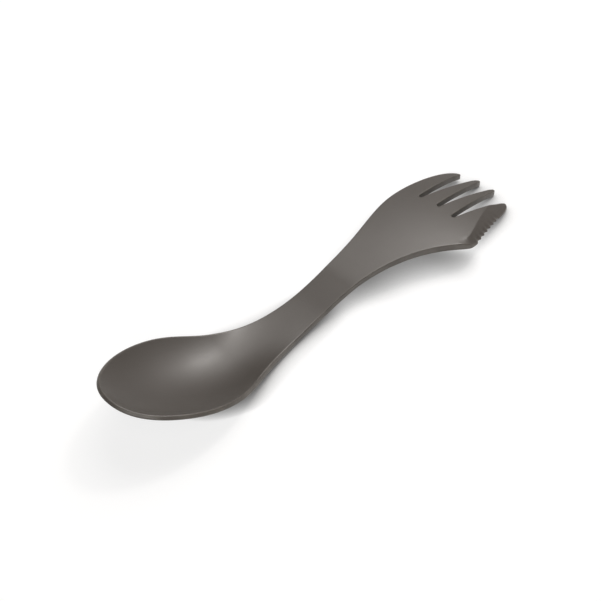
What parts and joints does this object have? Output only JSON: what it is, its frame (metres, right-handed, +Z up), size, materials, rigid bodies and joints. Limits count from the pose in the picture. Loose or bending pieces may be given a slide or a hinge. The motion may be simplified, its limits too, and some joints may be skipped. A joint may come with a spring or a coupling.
{
  "type": "spork",
  "caption": "Moulded spork with a dished spoon, a crowned and slotted fork whose outer tine has a bevelled, serrated cutting edge, and a waved flat handle between them.",
  "frame": {"origin": "on the table, under the middle of the spork's length and width, as it lies with the spoon open upwards", "axes": "+X from the spoon's tip to the fork's tips, +Z up from the table, -Y towards the side with the cutting edge"},
  "size_m": [0.17, 0.039, 0.0224],
  "materials": {
    "body": "fine satin moulding grain, warm dark grey"
  },
  "bodies": {
    "root": {"spork": "body"}
  },
  "joints": []
}
